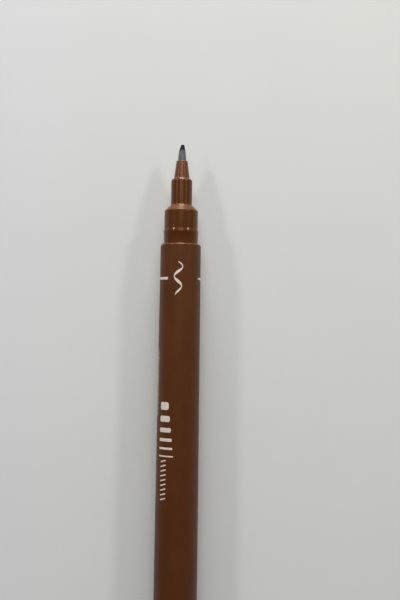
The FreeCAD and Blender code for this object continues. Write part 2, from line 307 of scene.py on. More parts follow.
def turns_with_edges(slots, start=0.0):
    """Even turns with a close pair at each side of every slot, given as (middle, half width) turns."""
    turns = set()
    for turn in even_turns(start=start):
        near = [abs(math.remainder(turn - middle, FULL_TURN)) - half for middle, half in slots]
        if all(abs(distance) > EDGE_CLEARANCE for distance in near):
            turns.add(turn % FULL_TURN)
    for middle, half in slots:
        for side in (-half, half):
            turns.add((middle + side - EDGE_HAIR) % FULL_TURN)
            turns.add((middle + side + EDGE_HAIR) % FULL_TURN)
    return sorted(turns)


def in_slot(turn, slots):
    """Whether this turn lies in one of the slots."""
    return any(abs(math.remainder(turn - middle, FULL_TURN)) < half for middle, half in slots)


def band(mesh, ring, following, skip=()):
    """Faces between two rings of vertices. A ring of one vertex is a pole."""
    count = max(len(ring), len(following))
    if count == 1:
        return
    for number in range(count):
        if number in skip:
            continue
        on = (number + 1) % count
        if len(ring) == 1:
            mesh.faces.new((ring[0], following[number], following[on]))
        elif len(following) == 1:
            mesh.faces.new((ring[number], following[0], ring[on]))
        else:
            mesh.faces.new((ring[number], following[number], following[on], ring[on]))


def lathe_rings(mesh, points, turns, spot=place):
    """A ring of vertices for each point of an outline, or one vertex where it meets the axis."""
    rings = []
    for along, radius in points:
        if radius < ON_AXIS:
            rings.append([mesh.verts.new(spot(along, 0.0, 0.0))])
        else:
            rings.append([mesh.verts.new(spot(along, radius, turn)) for turn in turns])
    return rings


def lathe(name, points, turns=None, spot=place):
    """A closed solid of revolution from its outline."""
    mesh = bmesh.new()
    rings = lathe_rings(mesh, points, turns or even_turns(), spot)
    for ring, following in zip(rings, rings[1:] + rings[:1]):
        band(mesh, ring, following)
    return keep_mesh(name, mesh)


def notched_lathe(name, points, turns, notch_turns, notch_along):
    """A lathe piece whose wall is missing behind notch_along at these turns.

    The outline has a point at notch_along on both sides of the wall.
    """
    mesh = bmesh.new()
    rings = lathe_rings(mesh, points, turns)
    behind = [number for number, point in enumerate(points) if point[0] <= notch_along + SAME_PLACE]
    first, last = behind[0], behind[-1]
    low, high = notch_turns
    gap = set(range(low, high))
    for number, ring in enumerate(rings):
        following = rings[(number + 1) % len(rings)]
        band(mesh, ring, following, gap if first <= number < last else ())
    start_ring, end_ring = rings[first], rings[last]
    for number in gap:
        on = number + 1
        mesh.faces.new((start_ring[number], end_ring[number], end_ring[on], start_ring[on]))
    for number in (low, high):
        mesh.faces.new([rings[ring][number] for ring in range(first, last + 1)])
    return keep_mesh(name, mesh)


def cut(piece, cutters):
    """Cuts the cutters out of the piece and removes them."""
    for cutter in cutters:
        boolean = piece.modifiers.new("cut", "BOOLEAN")
        boolean.operation = "DIFFERENCE"
        boolean.solver = "EXACT"
        boolean.object = cutter
    shape = piece.evaluated_get(bpy.context.evaluated_depsgraph_get())
    mesh = bmesh.new()
    mesh.from_mesh(shape.to_mesh())
    shape.to_mesh_clear()
    name = piece.name
    for done in [piece, *cutters]:
        data = done.data
        bpy.data.objects.remove(done)
        bpy.data.meshes.remove(data)
    return keep_mesh(name, mesh)


def barrel_radius(along):
    """The barrel's outer radius, which grows from its front shoulder to its straight rear stretch."""
    share = min(1.0, -along / (BARREL_LENGTH - BARREL_STRAIGHT))
    return BARREL_FRONT_RADIUS + (BARREL_REAR_RADIUS - BARREL_FRONT_RADIUS) * share


def make_barrel():
    """The drafted tube, with ribs in its bore that centre the reservoir."""
    half_rib = RIB_WIDTH / 2 / BARREL_BORE_RADIUS
    ribs = [(FULL_TURN * number / RIB_COUNT, half_rib) for number in range(RIB_COUNT)]
    points = outline(
        (0, BARREL_BORE_RADIUS),
        (0, BARREL_FRONT_RADIUS, BARREL_FRONT_ROUNDING),
        (BARREL_STRAIGHT - BARREL_LENGTH, BARREL_REAR_RADIUS),
        (-BARREL_LENGTH, BARREL_REAR_RADIUS, BARREL_REAR_ROUNDING),
        (-BARREL_LENGTH, BARREL_BORE_RADIUS),
        (RIB_REAR - RIB_END_STEP, BARREL_BORE_RADIUS),
        (RIB_REAR, BARREL_BORE_RADIUS),
        (RIB_FRONT, BARREL_BORE_RADIUS),
        (RIB_FRONT + RIB_END_STEP, BARREL_BORE_RADIUS),
    )

    def spot(along, radius, turn):
        ribbed = radius == BARREL_BORE_RADIUS and RIB_REAR <= along <= RIB_FRONT
        return place(along, RIB_RADIUS if ribbed and in_slot(turn, ribs) else radius, turn)

    return lathe("barrel_tube", points, turns_with_edges(ribs), spot)


def make_front_section():
    """The nose, chamfer, collar, snap ring and spigot in one moulding."""
    return lathe(
        "front_moulding",
        outline(
            (-SPIGOT_LENGTH, CHAMBER_RADIUS),
            (-SPIGOT_LENGTH, SPIGOT_RADIUS, EDGE_ROUNDING),
            (0, SPIGOT_RADIUS),
            (0, NECK_RADIUS),
            (RING_START, NECK_RADIUS),
            ((RING_CREST, RING_RADIUS), (RAMP_START, RAMP_RADIUS)),
            (COLLAR_START, COLLAR_RADIUS, EDGE_ROUNDING),
            (CHAMFER_START, COLLAR_RADIUS, COLLAR_ROUNDING),
            (CHAMFER_END, NOSE_RADIUS, CHAMFER_FOOT_ROUNDING),
            (NOSE_END, NOSE_RADIUS, NOSE_ROUNDING),
            (NOSE_END, HOLDER_STEM_RADIUS),
            (CHAMBER_END, HOLDER_STEM_RADIUS),
            (CHAMBER_END, CHAMBER_RADIUS),
        ),
    )


def make_nib_holder():
    """The hollow cone that holds the nib, with its stem pressed into the nose."""
    return lathe(
        "nib_holder_cone",
        outline(
            (HOLDER_STEM_END, HOLDER_BORE_RADIUS),
            (HOLDER_STEM_END, HOLDER_STEM_RADIUS, EDGE_ROUNDING),
            (NOSE_END, HOLDER_STEM_RADIUS),
            (NOSE_END, HOLDER_FOOT_RADIUS),
            (HOLDER_FOOT_MIDDLE, HOLDER_FOOT_END),
            (HOLDER_MOUTH, HOLDER_MOUTH_RADIUS, HOLDER_LIP_ROUNDING),
            (HOLDER_MOUTH, HOLDER_BORE_RADIUS, HOLDER_FLARE_ROUNDING),
        ),
    )


def on_ball(centre, radius, angle):
    """The (along, radius) point on a ball on the pen's axis, at this angle from the way to the nib."""
    slant = math.radians(angle)
    return (centre + radius * math.cos(slant), radius * math.sin(slant))


def fibre_noise(turn, across, depth):
    """Noise that repeats around the rod without a seam."""
    return noise.noise(Vector((math.sin(turn) * across, math.cos(turn) * across, depth)))


def fibre_ridge(along, radius, turn):
    """How far the fibres stand out here: broad strands with finer ones, fading out at the point."""
    strand = fibre_noise(turn, STRAND_ACROSS, along * STRAND_ALONG)
    fine = fibre_noise(turn, FINE_ACROSS, along * FINE_ALONG + FINE_OFFSET)
    height = STRAND_SHARE * strand + (1 - STRAND_SHARE) * fine - FIBRE_SINK
    return height * FIBRE_DEPTH * min(1.0, radius / NIB_POINT_RADIUS)


def make_nib():
    """One bonded fibre rod from the reservoir to the point, with its fibres as fine ridges."""
    point = NIB_TIP - NIB_POINT_RADIUS
    shoulder = on_ball(point, NIB_POINT_RADIUS, NIB_POINT_ANGLE)
    nose = on_ball(point, NIB_POINT_RADIUS, NIB_POINT_ANGLE / 2)
    rod = [(NIB_TAIL, 0.0), (NIB_TAIL, NIB_RADIUS)]
    inside = HOLDER_MOUTH - NIB_TAIL
    rod += [(NIB_TAIL + inside * step / NIB_ROD_STEPS, NIB_RADIUS) for step in range(1, NIB_ROD_STEPS)]
    rod += outline(
        (HOLDER_MOUTH, NIB_RADIUS),
        (NIB_BELLY, shoulder),
        (nose, (NIB_TIP, 0)),
        closed=False,
        arc_steps=NIB_ARC_STEPS,
    )
    points = [(along, 0.0 if radius < ON_AXIS else radius) for along, radius in rod]

    def spot(along, radius, turn):
        lean = max(0.0, (along - NIB_LEAN_START) / (NIB_TIP - NIB_LEAN_START)) ** 2 * NIB_LEAN
        outer = radius + fibre_ridge(along, radius, turn)
        return place(along, outer, turn) + Vector((lean * MM, 0, 0))

    return lathe("fibre_nib", points, even_turns(), spot)


def make_tail_plug():
    """The cup that closes the barrel's rear end, with the ridge that the posted cap snaps over."""
    front = PLUG_SPIGOT_LENGTH - BARREL_LENGTH
    end = -BARREL_LENGTH - PLUG_LENGTH
    half_ridge = CAP_GROOVE_WIDTH / 3
    inner = SPIGOT_RADIUS - PLUG_WALL
    return lathe(
        "tail_plug_cup",
        outline(
            (end, 0),
            (end, PLUG_RADIUS, PLUG_END_ROUNDING),
            (RIDGE - half_ridge, PLUG_RADIUS),
            ((RIDGE, PLUG_RIDGE_RADIUS), (RIDGE + half_ridge, PLUG_RADIUS)),
            (-BARREL_LENGTH, PLUG_RADIUS),
            (-BARREL_LENGTH, SPIGOT_RADIUS),
            (front, SPIGOT_RADIUS, EDGE_ROUNDING),
            (front, inner, EDGE_ROUNDING),
            (end + PLUG_WALL, inner),
            (end + PLUG_WALL, 0),
        ),
    )


def cap_radius(along):
    """The cap tube's outer radius, which grows evenly from its closed end to its lip."""
    slope = (CAP_LIP_RADIUS - CAP_END_RADIUS) / (CAP_LIP - SHELL_END)
    return CAP_END_RADIUS + slope * (along - SHELL_END)


def make_cap_shell():
    """The cap's tube, with the slot that the clip's tab passes through."""
    floor = SHELL_END + CAP_GAP + STRIP_THICKNESS + CLIP_SLOT_SWING
    half_groove = CAP_GROOVE_WIDTH / 2
    points = outline(
        (CAP_LIP, CAP_BORE_RADIUS, CAP_MOUTH_ROUNDING),
        (CAP_LIP, CAP_LIP_RADIUS, CAP_LIP_ROUNDING),
        (floor, cap_radius(floor)),
        (SHELL_END, CAP_END_RADIUS, EDGE_ROUNDING),
        (SHELL_END, CAP_BORE_RADIUS),
        (floor, CAP_BORE_RADIUS),
        (RIDGE - half_groove, CAP_BORE_RADIUS),
        ((RIDGE, CAP_GROOVE_RADIUS), (RIDGE + half_groove, CAP_BORE_RADIUS)),
    )
    half_width = STRIP_ROOT_WIDTH / 2 + CLIP_SIDE_GAP
    half_turn = math.asin(half_width / CAP_END_RADIUS)
    turns = [CLIP_TURN + half_turn * (2 * step / SLOT_COLUMNS - 1) for step in range(SLOT_COLUMNS)]
    around = COLUMNS - SLOT_COLUMNS
    rest = FULL_TURN - 2 * half_turn
    turns += [CLIP_TURN + half_turn + rest * step / around for step in range(around)]
    return notched_lathe("cap_tube", points, turns, (0, SLOT_COLUMNS), floor)


def make_cap_crown():
    """The cap's end, with its air vents."""
    spigot_end = SHELL_END + CROWN_SPIGOT_LENGTH
    crown = lathe(
        "crown_disc",
        outline(
            (CAP_END, 0),
            (CAP_END, CAP_END_RADIUS, CROWN_ROUNDING),
            (SHELL_END, CAP_END_RADIUS, EDGE_ROUNDING),
            (SHELL_END, CROWN_SPIGOT_RADIUS),
            (spigot_end, CROWN_SPIGOT_RADIUS, EDGE_ROUNDING),
            (spigot_end, CROWN_SPIGOT_BORE, EDGE_ROUNDING),
            (SHELL_END, CROWN_SPIGOT_BORE),
            (SHELL_END, 0),
        ),
    )
    vents = []
    for number in range(VENT_COUNT):
        middle = CLIP_TURN + math.pi / 2 + FULL_TURN * number / VENT_COUNT
        offset = place(0, VENT_CIRCLE, middle) - place(0, 0, middle)
        points = [
            (CAP_END - CUTTER_REACH, 0),
            (CAP_END - CUTTER_REACH, VENT_RADIUS + VENT_FLARE),
            (CAP_END, VENT_RADIUS + VENT_FLARE),
            (CAP_END + VENT_FLARE, VENT_RADIUS),
            (SHELL_END + CUTTER_REACH, VENT_RADIUS),
            (SHELL_END + CUTTER_REACH, 0),
        ]
        vent = lathe(
            f"vent_{number}",
            points,
            even_turns(VENT_COLUMNS),
            lambda along, radius, turn, offset=offset: place(along, radius, turn) + offset,
        )
        vents.append(vent)
    return cut(crown, vents)


def make_inner_cap():
    """The liner that seals the nib, with air slots in its rear flange."""
    shoulder = LINER_END + LINER_FLANGE_LENGTH
    slots = []
    for number in range(VENT_COUNT):
        middle = CLIP_TURN + FULL_TURN * number / VENT_COUNT
        slots.append((middle, math.asin(LINER_SLOT_WIDTH / 2 / LINER_FLANGE_RADIUS)))
    points = outline(
        (LINER_MOUTH, LINER_BORE_RADIUS, EDGE_ROUNDING),
        (LINER_MOUTH, LINER_RADIUS, LINER_RIM_ROUNDING),
        (shoulder, LINER_RADIUS),
        (shoulder, LINER_FLANGE_RADIUS),
        (LINER_END, LINER_FLANGE_RADIUS),
        (LINER_END, 0),
        (LINER_END + LINER_WALL, 0),
        (LINER_END + LINER_WALL, LINER_BORE_RADIUS),
    )

    def spot(along, radius, turn):
        slotted = radius > LINER_SLOT_FLOOR and in_slot(turn, slots)
        return place(along, LINER_SLOT_FLOOR if slotted else radius, turn)

    return lathe("sealing_liner", points, turns_with_edges(slots, CLIP_TURN), spot)


def strip_half_width(along):
    """Half the width of the clip's strip at this place: it tapers, and its free end is round."""
    start = CLIP_ROOT - CLIP_TAPER_LEAD
    end = CLIP_ROOT + CLIP_LENGTH
    half_root = STRIP_ROOT_WIDTH / 2
    half_tip = STRIP_TIP_WIDTH / 2
    round_start = end - half_tip
    if along < round_start:
        return half_root + (half_tip - half_root) * (along - start) / (round_start - start)
    return math.sqrt(max(0.0, half_tip**2 - (along - round_start) ** 2))


def strip_section(half_width):
    """The (sideways, upward) points round the strip's cross-section, with its four edges eased."""
    half_strip = STRIP_THICKNESS / 2
    edge = min(STRIP_EDGE, half_width * 0.9)
    points = []
    for quarter in range(4):
        wide = (half_width - edge) * (1 if quarter in (0, 3) else -1)
        thick = (half_strip - edge) * (1 if quarter in (0, 1) else -1)
        for step in range(CLIP_EDGE_STEPS + 1):
            angle = (quarter + step / CLIP_EDGE_STEPS) * math.pi / 2
            points.append((wide + edge * math.cos(angle), thick + edge * math.sin(angle)))
    return points


def clip_path():
    """The (along, radius) points of the strip's middle, closer together where its end is round."""
    dip = CLIP_ROOT + CLIP_DIP_LENGTH
    end = CLIP_ROOT + CLIP_LENGTH
    dip_radius = cap_radius(dip) + STRIP_THICKNESS / 2
    path = outline(
        (CLIP_ROOT, CLIP_TAB_RADIUS),
        (CLIP_ROOT, CLIP_ARM_RADIUS, CLIP_ROOT_BEND),
        (CLIP_ROOT + CLIP_ARM_LENGTH, CLIP_ARM_END_RADIUS, CLIP_ARM_BEND),
        (dip, dip_radius, CLIP_DIP_BEND),
        (end, CLIP_FLARE_RADIUS),
        closed=False,
    )
    last = complex(*path.pop())
    before = complex(*path[-1])
    half_tip = STRIP_TIP_WIDTH / 2
    round_start = before + (last - before) * (end - half_tip - before.real) / (last.real - before.real)
    for step in range(CLIP_END_STEPS):
        share = math.sin(math.pi / 2 * step / CLIP_END_STEPS)
        spot = round_start + (last - round_start) * share
        path.append((spot.real, spot.imag))
    path.append((last.real - CLIP_TIP_TRIM, last.imag))
    return path


def make_clip():
    """The bent strip, with every long edge eased."""
    path = clip_path()
    side = place(0, 1, CLIP_TURN + math.pi / 2) - place(0, 0, 0)
    mesh = bmesh.new()
    rings = []
    for number, (along, radius) in enumerate(path):
        back = complex(*path[max(0, number - 1)])
        on = complex(*path[min(len(path) - 1, number + 1)])
        across = (on - back) / abs(on - back) * 1j
        ring = []
        for sideways, upward in strip_section(strip_half_width(along)):
            spot = complex(along, radius) + upward * across
            ring.append(mesh.verts.new(place(spot.real, spot.imag, CLIP_TURN) + side * sideways))
        rings.append(ring)
    for ring, following in zip(rings, rings[1:]):
        band(mesh, ring, following)
    mesh.faces.new(rings[0])
    mesh.faces.new(rings[-1])
    return keep_mesh("clip_strip", mesh)


# Printed marks: thin slabs of ink wrapped on the barrel
INK_HEIGHT = 0.016
INK_ROOT = 0.01
INK_ACROSS = 6
INK_EASED = 0.9

RING_MARK_ALONG = -8.9
RING_MARK_SWAY = 0.28
RING_MARK_START = math.radians(-35)
RING_MARK_END = math.radians(57.5) - FULL_TURN
RING_MARK_HALF_WIDTH = 0.33
RING_MARK_TAPER = 1.6
RING_MARK_POINT = 0.06
RING_MARK_STEPS = 270

STROKE_ALONG = -4.9
STROKE_LENGTH = 8.5
STROKE_TURN = math.radians(-4.5)
STROKE_SWING = math.radians(13.0)
STROKE_HALF_WAVES = 3.4
STROKE_CALM = 0.35
STROKE_THIN = 0.06
STROKE_THICK = 0.3
STROKE_STEPS = 120

BAR_HALF_WIDTHS = (0.98, 0.76, 0.56, 0.4, 0.27, 0.17)
BARS_ALONG = -40.4
BAR_GAP = 1.48
BAR_CORNER_SHARE = 0.6
BAR_STEPS = 40

TICK_COUNT = 9
TICKS_ALONG = -55.4
TICK_PITCH = 1.18
TICK_SLANT = 0.5
TICK_TURN = -49
TICK_SWEEP = 18
TICK_HALF_WIDTH = 0.16
TICK_STEPS = 8

DASH_TURNS = (-71.0, -77.5)
DASH_COUNT = 15
DASHES_ALONG = -27.0
DASH_OFFSET = 0.6
DASH_SHORTEST = 0.45
DASH_SPREAD = 0.55
DASH_GAP = 0.34
DASH_HALF_WIDTH = 0.11
DASH_STEPS = 4


def add_stroke(mesh, path):
    """A slab along a path of (along, turn, half width) points."""
    rows = []
    for number, (along, turn, half_width) in enumerate(path):
        radius = barrel_radius(along)
        back = path[max(0, number - 1)]
        on = path[min(len(path) - 1, number + 1)]
        way = complex(on[0] - back[0], (on[1] - back[1]) * radius)
        across = way / abs(way) * 1j
        top, root = [], []
        for step in range(INK_ACROSS + 1):
            share = 2 * step / INK_ACROSS - 1
            spot = complex(along, turn * radius) + across * half_width * share
            here = barrel_radius(spot.real)
            height = INK_HEIGHT * (1 if abs(share) < INK_EASED else 0.5)
            top.append(mesh.verts.new(place(spot.real, here + height, spot.imag / radius)))
            root.append(mesh.verts.new(place(spot.real, here - INK_ROOT, spot.imag / radius)))
        rows.append(top + root[::-1])
    for row, following in zip(rows, rows[1:]):
        band(mesh, row, following)
    for row in (rows[0], rows[-1]):
        for step in range(INK_ACROSS):
            mesh.faces.new((row[step], row[step + 1], row[-step - 2], row[-step - 1]))


def make_mark(name, paths):
    """One printed mark, made of a stroke for each path."""
    mesh = bmesh.new()
    for path in paths:
        add_stroke(mesh, path)
    return keep_mesh(name, mesh)


def make_ring_mark():
    """A line most of the way round, with a square end and a tapered end."""
    swing = RING_MARK_END - RING_MARK_START
    path = []
    for step in range(RING_MARK_STEPS + 1):
        turn = RING_MARK_START + swing * step / RING_MARK_STEPS
        left = abs(turn - RING_MARK_END) * BARREL_FRONT_RADIUS
        half_width = RING_MARK_HALF_WIDTH * min(1.0, RING_MARK_POINT + left / RING_MARK_TAPER)
        path.append((RING_MARK_ALONG - RING_MARK_SWAY * math.cos(turn), turn, half_width))
    return make_mark("print_ring", [path])


def make_brush_mark():
    """One wavy stroke of a soft brush, thin where it lands and lifts."""
    path = []
    for step in range(STROKE_STEPS + 1):
        share = step / STROKE_STEPS
        wave = share * STROKE_HALF_WAVES * math.pi
        turn = STROKE_TURN + STROKE_SWING * math.sin(wave) * (1 - STROKE_CALM * share)
        press = math.sin(math.pi * share) ** 0.5
        half_width = STROKE_THIN + STROKE_THICK * press * (0.62 + 0.38 * math.cos(2 * wave))
        path.append((STROKE_ALONG - STROKE_LENGTH * share, turn, half_width))
    return make_mark("print_stroke", [path])


def make_bar_marks():
    """A row of bars across the pen. Each is thinner and longer than the last."""
    widest, thinnest = BAR_HALF_WIDTHS[0], BAR_HALF_WIDTHS[-1]
    paths = []
    along = BARS_ALONG
    for half_width in BAR_HALF_WIDTHS:
        along -= half_width
        thin = (widest - half_width) / (widest - thinnest)
        low = math.radians(-53 - 4 * thin)
        high = math.radians(-25 + 14 * thin)
        reach = (high - low) * barrel_radius(along)
        corner = half_width * BAR_CORNER_SHARE
        path = []
        for step in range(BAR_STEPS + 1):
            place_on = reach * (0.5 - 0.5 * math.cos(math.pi * step / BAR_STEPS))
            inset = max(0.0, 1 - min(place_on, reach - place_on) / corner)
            width = half_width - corner * (1 - math.sqrt(max(0.0, 1 - inset**2)))
            path.append((along, low + place_on / barrel_radius(along), width))
        paths.append(path)
        along -= half_width + BAR_GAP
    return make_mark("print_bars", paths)


def make_tick_marks():
    """A row of short slanted ticks."""
    paths = []
    for number in range(TICK_COUNT):
        along = TICKS_ALONG - TICK_PITCH * number
        path = []
        for step in range(TICK_STEPS + 1):
            share = step / TICK_STEPS
            turn = math.radians(TICK_TURN + TICK_SWEEP * share)
            path.append((along + TICK_SLANT * share, turn, TICK_HALF_WIDTH))
        paths.append(path)
    return make_mark("print_ticks", paths)


def make_dash_marks():
    """Two fine broken lines along the side of the barrel."""
    paths = []
    for row, degrees in enumerate(DASH_TURNS):
        turn = math.radians(degrees)
        along = DASHES_ALONG - DASH_OFFSET * row
        for number in range(DASH_COUNT):
            length = DASH_SHORTEST + DASH_SPREAD * abs(math.sin(2.3 * number + row))
            steps = range(DASH_STEPS + 1)
            paths.append([(along - length * step / DASH_STEPS, turn, DASH_HALF_WIDTH) for step in steps])
            along -= length + DASH_GAP
    return make_mark("print_dashes", paths)


# Materials: the scales in them are in turns of the pattern per millimetre
FINISH_BLEND = 0.1
REFLECTION_TINT = (1.0, 0.74, 0.5, 1.0)

def new_material(name):
    """A material with its shader and a place to start its textures from: the piece's own coordinates."""
    material = bpy.data.materials.new(name)
    material.use_nodes = True
    tree = material.node_tree
    tree.nodes.clear()
    output = tree.nodes.new("ShaderNodeOutputMaterial")
    shader = tree.nodes.new("ShaderNodeBsdfPrincipled")
    tree.links.new(shader.outputs["BSDF"], output.inputs["Surface"])
    return material, tree, shader


def stretched(tree, scale):
    """The piece's own coordinates in millimetres, scaled along each axis."""
    coordinates = tree.nodes.new("ShaderNodeTexCoord")
    mapping = tree.nodes.new("ShaderNodeMapping")
    mapping.inputs["Scale"].default_value = [value / MM for value in scale]
    tree.links.new(coordinates.outputs["Object"], mapping.inputs["Vector"])
    return mapping.outputs["Vector"]


def noise_value(tree, vector, detail=3.0, roughness=0.5):
    """A noise pattern, one turn for each unit of the vector."""
    texture = tree.nodes.new("ShaderNodeTexNoise")
    texture.inputs["Scale"].default_value = 1.0
    texture.inputs["Detail"].default_value = detail
    texture.inputs["Roughness"].default_value = roughness
    tree.links.new(vector, texture.inputs["Vector"])
    return texture.outputs["Fac"]


def mapped(tree, value, low, high, to_low, to_high):
    """The value with the range low to high moved to to_low to to_high, and clamped."""
    node = tree.nodes.new("ShaderNodeMapRange")
    for socket, number in zip(("From Min", "From Max", "To Min", "To Max"), (low, high, to_low, to_high)):
        node.inputs[socket].default_value = number
    tree.links.new(value, node.inputs["Value"])
    return node.outputs["Result"]


def mixed(tree, factor, first, second):
    """A colour between two others. Each is a colour or an output."""
    node = tree.nodes.new("ShaderNodeMix")
    node.data_type = "RGBA"
    tree.links.new(factor, node.inputs["Factor"])
    for name, colour in (("A", first), ("B", second)):
        socket = [entry for entry in node.inputs if entry.name == name and entry.type == "RGBA"][0]
        if isinstance(colour, tuple):
            socket.default_value = (*colour, 1.0)
        else:
            tree.links.new(colour, socket)
    return [entry for entry in node.outputs if entry.type == "RGBA"][0]


def added(tree, first, second):
    """The sum of two values. Each is a number or an output."""
    node = tree.nodes.new("ShaderNodeMath")
    node.operation = "ADD"
    for socket, value in zip(node.inputs, (first, second)):
        if isinstance(value, float):
            socket.default_value = value
        else:
            tree.links.new(value, socket)
    return node.outputs["Value"]


def bumped(tree, shader, height, distance):
    """Gives the shader a bump of this height in millimetres."""
    bump = tree.nodes.new("ShaderNodeBump")
    bump.inputs["Distance"].default_value = distance * MM
    bump.inputs["Strength"].default_value = 1.0
    tree.links.new(height, bump.inputs["Height"])
    tree.links.new(bump.outputs["Normal"], shader.inputs["Normal"])


def own_axis(tree, axis):
    """The piece's own X, Y or Z coordinate, in metres."""
    coordinates = tree.nodes.new("ShaderNodeTexCoord")
    split = tree.nodes.new("ShaderNodeSeparateXYZ")
    tree.links.new(coordinates.outputs["Object"], split.inputs["Vector"])
    return split.outputs[axis]


def along_pen(tree):
    """The distance along the pen from the barrel's front shoulder, in metres."""
    return added(tree, own_axis(tree, "Y"), -SHOULDER)


def moulded_plastic(name, colour, roughness, specular, peel, scuff, stretch=None):
    """Pigmented moulded plastic: faint clouding and speckle, uneven gloss and a trace of orange peel.

    stretch is the (start, end, roughness) of a stretch along the pen that has another finish.
    """
    material, tree, shader = new_material(name)
    cloud = noise_value(tree, stretched(tree, (0.22, 0.12, 0.22)), detail=4.0)
    speck = noise_value(tree, stretched(tree, (6, 6, 6)), detail=2.0)
    flow = noise_value(tree, stretched(tree, (3.2, 0.18, 3.2)), detail=5.0, roughness=0.6)
    dark = tuple(value * 0.9 for value in colour)
    light = tuple(value * 1.1 for value in colour)
    clouded = mixed(tree, mapped(tree, cloud, 0.3, 0.7, 0.0, 1.0), dark, light)
    fleck = tuple(value * 1.35 + 0.004 for value in colour)
    shown = mixed(tree, mapped(tree, speck, 0.56, 0.8, 0.0, 0.6), clouded, fleck)
    tree.links.new(shown, shader.inputs["Base Color"])
    gloss = mapped(tree, flow, 0.3, 0.7, roughness - scuff, roughness + scuff)
    if stretch:
        start, end, finish = stretch
        along = along_pen(tree)
        change = finish - roughness
        into = mapped(tree, along, (start - FINISH_BLEND) * MM, (start + FINISH_BLEND) * MM, 0.0, change)
        out = mapped(tree, along, (end - FINISH_BLEND) * MM, (end + FINISH_BLEND) * MM, 0.0, -change)
        gloss = added(tree, gloss, added(tree, into, out))
    tree.links.new(gloss, shader.inputs["Roughness"])
    shader.inputs["Specular IOR Level"].default_value = specular
    shader.inputs["Specular Tint"].default_value = REFLECTION_TINT
    grain = noise_value(tree, stretched(tree, (2.6, 2.6, 2.6)), detail=4.0, roughness=0.65)
    bumped(tree, shader, added(tree, grain, mapped(tree, flow, 0, 1, 0.0, 0.5)), peel)
    return material


def fibre(name, colour, ink, stain_start, stain_end):
    """Bonded fibres that run along the pen, stained with ink towards the point."""
    material, tree, shader = new_material(name)
    strands = noise_value(tree, stretched(tree, (9, 0.5, 9)), detail=5.0, roughness=0.62)
    broad = noise_value(tree, stretched(tree, (3, 0.25, 3)), detail=3.0)
    dark = tuple(value * 0.62 for value in colour)
    light = tuple(min(1.0, value * 1.3) for value in colour)
    fade = mapped(tree, along_pen(tree), HOLDER_MOUTH * MM, stain_start * MM, 0.5, -0.15)
    streaked = mixed(tree, added(tree, mapped(tree, strands, 0.34, 0.66, 0.0, 1.0), fade), dark, light)
    ragged = mapped(tree, added(tree, strands, broad), 0.7, 1.3, -0.4 * MM, 0.4 * MM)
    stain = mapped(tree, added(tree, along_pen(tree), ragged), stain_start * MM, stain_end * MM, 0.0, 1.0)
    tree.links.new(mixed(tree, stain, streaked, ink), shader.inputs["Base Color"])
    shader.inputs["Roughness"].default_value = 0.75
    shader.inputs["Specular IOR Level"].default_value = 0.15
    bumped(tree, shader, strands, 0.02)
    return material


def soft_liner(name, colour):
    """Natural polyethylene: waxy and slightly clouded."""
    material, tree, shader = new_material(name)
    cloud = noise_value(tree, stretched(tree, (0.5, 0.5, 0.5)), detail=3.0)
    dark = tuple(value * 0.93 for value in colour)
    tree.links.new(mixed(tree, cloud, dark, colour), shader.inputs["Base Color"])
    tree.links.new(mapped(tree, cloud, 0.3, 0.7, 0.38, 0.5), shader.inputs["Roughness"])
    shader.inputs["Subsurface Weight"].default_value = 0.15
    shader.inputs["Subsurface Radius"].default_value = (1.0, 0.9, 0.8)
    shader.inputs["Subsurface Scale"].default_value = 0.4 * MM
    grain = noise_value(tree, stretched(tree, (3, 3, 3)), detail=3.0)
    bumped(tree, shader, grain, 0.002)
    return material


def brushed_steel(name, colour):
    """Satin steel strip, with its rolling lines along the strip."""
    material, tree, shader = new_material(name)
    lines = noise_value(tree, stretched(tree, (16, 0.35, 16)), detail=5.0, roughness=0.6)
    smudge = noise_value(tree, stretched(tree, (0.3, 0.16, 0.3)), detail=3.0)
    dark = tuple(value * 0.86 for value in colour)
    shown = mixed(tree, mapped(tree, lines, 0.3, 0.7, 0, 1), dark, colour)
    tree.links.new(shown, shader.inputs["Base Color"])
    shader.inputs["Metallic"].default_value = 1.0
    line_gloss = mapped(tree, lines, 0.3, 0.7, 0.24, 0.34)
    smudge_gloss = mapped(tree, smudge, 0.3, 0.7, -0.03, 0.07)
    tree.links.new(added(tree, line_gloss, smudge_gloss), shader.inputs["Roughness"])
    bumped(tree, shader, lines, 0.0012)
    return material


def print_ink(name, colour, under):
    """Pad-printed ink: even, with pinholes and slightly thin patches that let the plastic through."""
    material, tree, shader = new_material(name)
    patch = noise_value(tree, stretched(tree, (1.6, 1.6, 1.6)), detail=4.0, roughness=0.6)
    pinhole = noise_value(tree, stretched(tree, (9, 9, 9)), detail=2.0)
    thin = mixed(tree, mapped(tree, patch, 0.55, 0.8, 0.0, 0.22), colour, under)
    shown = mixed(tree, mapped(tree, pinhole, 0.66, 0.74, 0.0, 0.6), thin, under)
    tree.links.new(shown, shader.inputs["Base Color"])
    tree.links.new(mapped(tree, patch, 0.3, 0.7, 0.42, 0.55), shader.inputs["Roughness"])
    bumped(tree, shader, pinhole, 0.0015)
    return material


def clear_film(name, colour):
    """The reservoir's thin wrap, with faint lengthwise creases."""
    material, tree, shader = new_material(name)
    crease = noise_value(tree, stretched(tree, (1.2, 0.08, 1.2)), detail=4.0)
    dark = tuple(value * 0.9 for value in colour)
    tree.links.new(mixed(tree, crease, dark, colour), shader.inputs["Base Color"])
    tree.links.new(mapped(tree, crease, 0.3, 0.7, 0.22, 0.36), shader.inputs["Roughness"])
    bumped(tree, shader, crease, 0.01)
    return material


BROWN = (0.090, 0.0265, 0.0067)
NOSE_BROWN = (0.096, 0.0285, 0.0068)
HOLDER_BROWN = (0.137, 0.046, 0.021)

# The stretches below are (start, end, roughness): the barrel's front edge and the nose's chamfer
SHOULDER_EDGE = (-0.6, 0.2, 0.22)
CHAMFER = (8.4, 10.05, 0.32)

